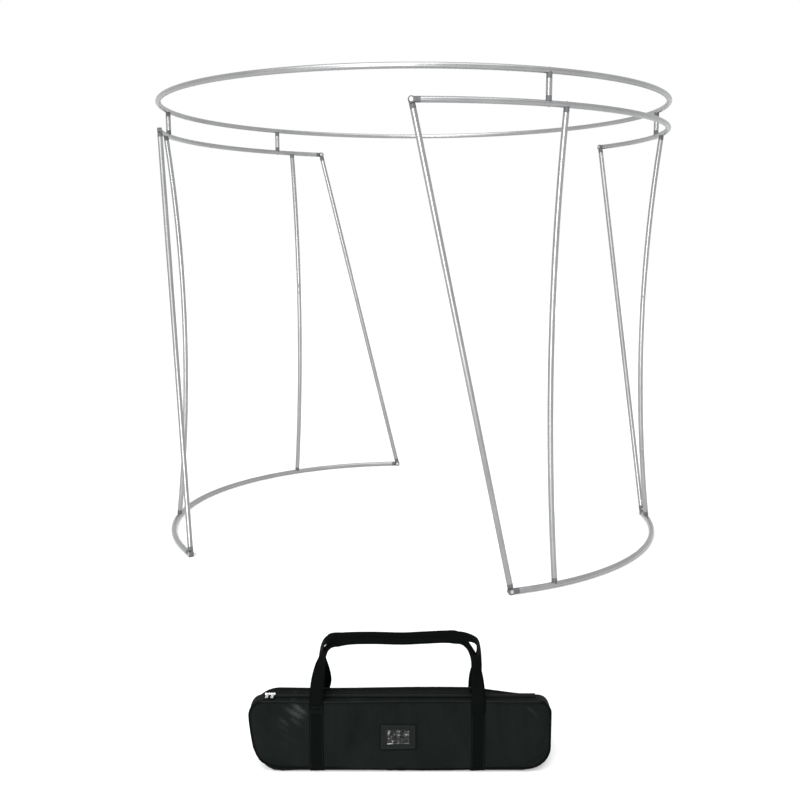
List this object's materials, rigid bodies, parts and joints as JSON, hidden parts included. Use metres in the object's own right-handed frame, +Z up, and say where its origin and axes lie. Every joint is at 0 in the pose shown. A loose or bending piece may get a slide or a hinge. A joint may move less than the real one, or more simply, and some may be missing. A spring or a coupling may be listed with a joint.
{
  "type": "circular tube display frame with carry bag",
  "caption": "Round knock-down display frame of plug-in aluminium tube: two curved walls under a full header ring, with a black zipped carry bag in front.",
  "frame": {"origin": "the header ring's axis, at the floor", "axes": "+Z up along the ring's axis; +Y from the bag towards the back of the ring; +X to the right as seen from the front"},
  "size_m": [3.03, 4.6232, 2.5643],
  "materials": {
    "tube": "satin anodised",
    "fitting": "moulded, fine matt grain",
    "screw": "plated",
    "button": "tumbled",
    "bag_cloth": "coated black oxford weave",
    "board": "sheet board",
    "webbing": "black woven webbing",
    "zip_tape": "knitted tape with a coil chain",
    "zip_metal": "plated die-cast",
    "pane": "clear soft vinyl"
  },
  "bodies": {
    "frame": {"left_top_rail": "tube", "left_bottom_rail": "tube", "right_top_rail": "tube", "right_bottom_rail": "tube", "left_end_post_back": "tube", "left_end_post_front": "tube", "right_end_post_front": "tube", "right_end_post_back": "tube", "left_upright_post_back": "tube", "left_upright_post_front": "tube", "right_upright_post_front": "tube", "right_upright_post_back": "tube", "corner_rail_legs": "fitting", "corner_post_legs": "fitting", "corner_pivots": "screw", "upright_saddles": "fitting", "spacer_saddles": "fitting", "frame_screws": "screw"},
    "header_ring": {"header_tube_1": "tube", "header_tube_2": "tube", "header_tube_3": "tube", "header_tube_4": "tube", "header_tube_5": "tube", "header_tube_6": "tube", "header_tube_7": "tube", "header_tube_8": "tube", "header_tube_9": "tube", "header_tube_10": "tube", "header_tube_11": "tube", "header_tube_12": "tube", "header_saddles": "fitting", "spacer_tubes": "tube", "header_screws": "screw"},
    "header_button_set": {"header_buttons": "button"},
    "top_rail_button_set": {"top_rail_buttons": "button"},
    "bottom_rail_button_set": {"bottom_rail_buttons": "button"},
    "bag": {"bag_front_panel": "bag_cloth", "bag_back_panel": "bag_cloth", "bag_gusset": "bag_cloth", "bag_base_board": "board", "bag_bands": "webbing", "zip_tape": "zip_tape", "zip_slider_parked": "zip_metal", "card_pocket": "bag_cloth", "card_pane": "pane"},
    "front_handle": {"bag_handle_front": "webbing"},
    "back_handle": {"bag_handle_back": "webbing"},
    "running_slider": {"zip_slider": "zip_metal"},
    "parked_pull": {"zip_pull_parked": "zip_metal"},
    "running_pull": {"zip_pull": "zip_metal"},
    "left_end_button_set_back": {"left_end_buttons_back": "button"},
    "left_end_button_set_front": {"left_end_buttons_front": "button"},
    "right_end_button_set_front": {"right_end_buttons_front": "button"},
    "right_end_button_set_back": {"right_end_buttons_back": "button"},
    "left_upright_button_set_back": {"left_upright_buttons_back": "button"},
    "left_upright_button_set_front": {"left_upright_buttons_front": "button"},
    "right_upright_button_set_front": {"right_upright_buttons_front": "button"},
    "right_upright_button_set_back": {"right_upright_buttons_back": "button"}
  },
  "joints": [
    {"name": "header_lift", "type": "slide", "parent": "frame", "child": "header_ring", "axis": [0, 0, 1], "range_m": [0, 0.3]},
    {"name": "header_buttons_press", "type": "slide", "parent": "header_ring", "child": "header_button_set", "axis": [0, 0, 1], "range_m": [0, 0.0052], "stiffness_N_per_m": 600, "springref_m": -0.002},
    {"name": "top_rail_buttons_press", "type": "slide", "parent": "frame", "child": "top_rail_button_set", "axis": [0, 0, 1], "range_m": [0, 0.0052], "stiffness_N_per_m": 600, "springref_m": -0.002},
    {"name": "bottom_rail_buttons_press", "type": "slide", "parent": "frame", "child": "bottom_rail_button_set", "axis": [0, 0, -1], "range_m": [0, 0.0052], "stiffness_N_per_m": 600, "springref_m": -0.002},
    {"name": "left_end_buttons_back_press", "type": "slide", "parent": "frame", "child": "left_end_button_set_back", "axis": [0.9378, 0.2522, 0.2388], "range_m": [0, 0.0052], "stiffness_N_per_m": 600, "springref_m": -0.002},
    {"name": "left_end_buttons_front_press", "type": "slide", "parent": "frame", "child": "left_end_button_set_front", "axis": [0.3519, -0.9027, 0.2477], "range_m": [0, 0.0052], "stiffness_N_per_m": 600, "springref_m": -0.002},
    {"name": "right_end_buttons_front_press", "type": "slide", "parent": "frame", "child": "right_end_button_set_front", "axis": [-0.9659, -0.1504, -0.2108], "range_m": [0, 0.0052], "stiffness_N_per_m": 600, "springref_m": -0.002},
    {"name": "right_end_buttons_back_press", "type": "slide", "parent": "frame", "child": "right_end_button_set_back", "axis": [-0.2708, 0.9171, -0.2926], "range_m": [0, 0.0052], "stiffness_N_per_m": 600, "springref_m": -0.002},
    {"name": "left_upright_buttons_back_press", "type": "slide", "parent": "frame", "child": "left_upright_button_set_back", "axis": [0.8151, 0.5793, 0], "range_m": [0, 0.0052], "stiffness_N_per_m": 600, "springref_m": -0.002},
    {"name": "left_upright_buttons_front_press", "type": "slide", "parent": "frame", "child": "left_upright_button_set_front", "axis": [0.007, -1, 0], "range_m": [0, 0.0052], "stiffness_N_per_m": 600, "springref_m": -0.002},
    {"name": "right_upright_buttons_front_press", "type": "slide", "parent": "frame", "child": "right_upright_button_set_front", "axis": [-0.8788, -0.4772, 0], "range_m": [0, 0.0052], "stiffness_N_per_m": 600, "springref_m": -0.002},
    {"name": "right_upright_buttons_back_press", "type": "slide", "parent": "frame", "child": "right_upright_button_set_back", "axis": [0.0349, 0.9994, 0], "range_m": [0, 0.0052], "stiffness_N_per_m": 600, "springref_m": -0.002},
    {"name": "bag_lift", "type": "slide", "parent": "frame", "child": "bag", "axis": [0, 0, 1], "range_m": [0, 0.6]},
    {"name": "front_handle_fold", "type": "hinge", "parent": "bag", "child": "front_handle", "pos_m": [-0.078, -3.10705, 0.25], "axis": [1, 0, 0], "range_deg": [0, 155]},
    {"name": "back_handle_fold", "type": "hinge", "parent": "bag", "child": "back_handle", "pos_m": [-0.078, -2.99395, 0.25], "axis": [-1, 0, 0], "range_deg": [0, 155]},
    {"name": "zip_open", "type": "slide", "parent": "bag", "child": "running_slider", "axis": [1, 0, 0], "range_m": [0, 0.86]},
    {"name": "running_pull_flip", "type": "hinge", "parent": "running_slider", "child": "running_pull", "pos_m": [-0.504, -3.0505, 0.2543], "axis": [-1, 0, 0], "range_deg": [0, 160]},
    {"name": "parked_pull_flip", "type": "hinge", "parent": "bag", "child": "parked_pull", "pos_m": [-0.522, -3.0505, 0.2543], "axis": [-1, 0, 0], "range_deg": [0, 160]}
  ]
}
